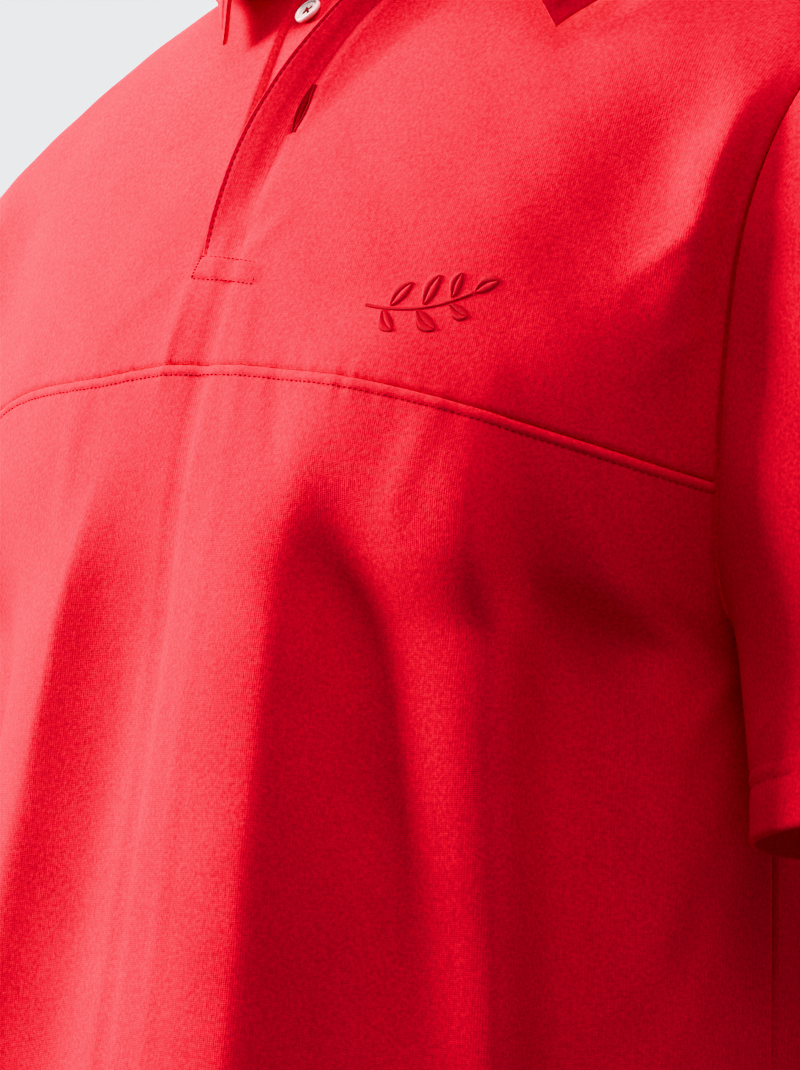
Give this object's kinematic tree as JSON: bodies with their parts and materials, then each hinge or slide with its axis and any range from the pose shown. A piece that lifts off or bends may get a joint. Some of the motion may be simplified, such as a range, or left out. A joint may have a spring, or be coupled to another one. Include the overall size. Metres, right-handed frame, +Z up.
{
  "type": "polo shirt",
  "caption": "Short-sleeved oversized polo shirt in heavy jersey, worn shape, with an open collar and placket, a chest seam and dropped shoulders.",
  "frame": {"origin": "base of the neck, level with the highest points of the shoulder seams, midway between the shoulders", "axes": "+Z up the wearer's neck, the front faces -Y, and the wearer's left sleeve is on +X"},
  "size_m": [0.67, 0.2937, 0.7449],
  "materials": {
    "body_jersey": "heavy smooth jersey, matt with a soft nap",
    "collar_jersey": "the same jersey, double and pressed",
    "button": "polished, pearly"
  },
  "bodies": {
    "root": {"front_upper": "body_jersey", "front_lower": "body_jersey", "back": "body_jersey", "sleeve_left": "body_jersey", "sleeve_right": "body_jersey", "collar": "collar_jersey", "placket_underlap": "collar_jersey", "button_top": "button", "button_second": "button"}
  },
  "joints": []
}
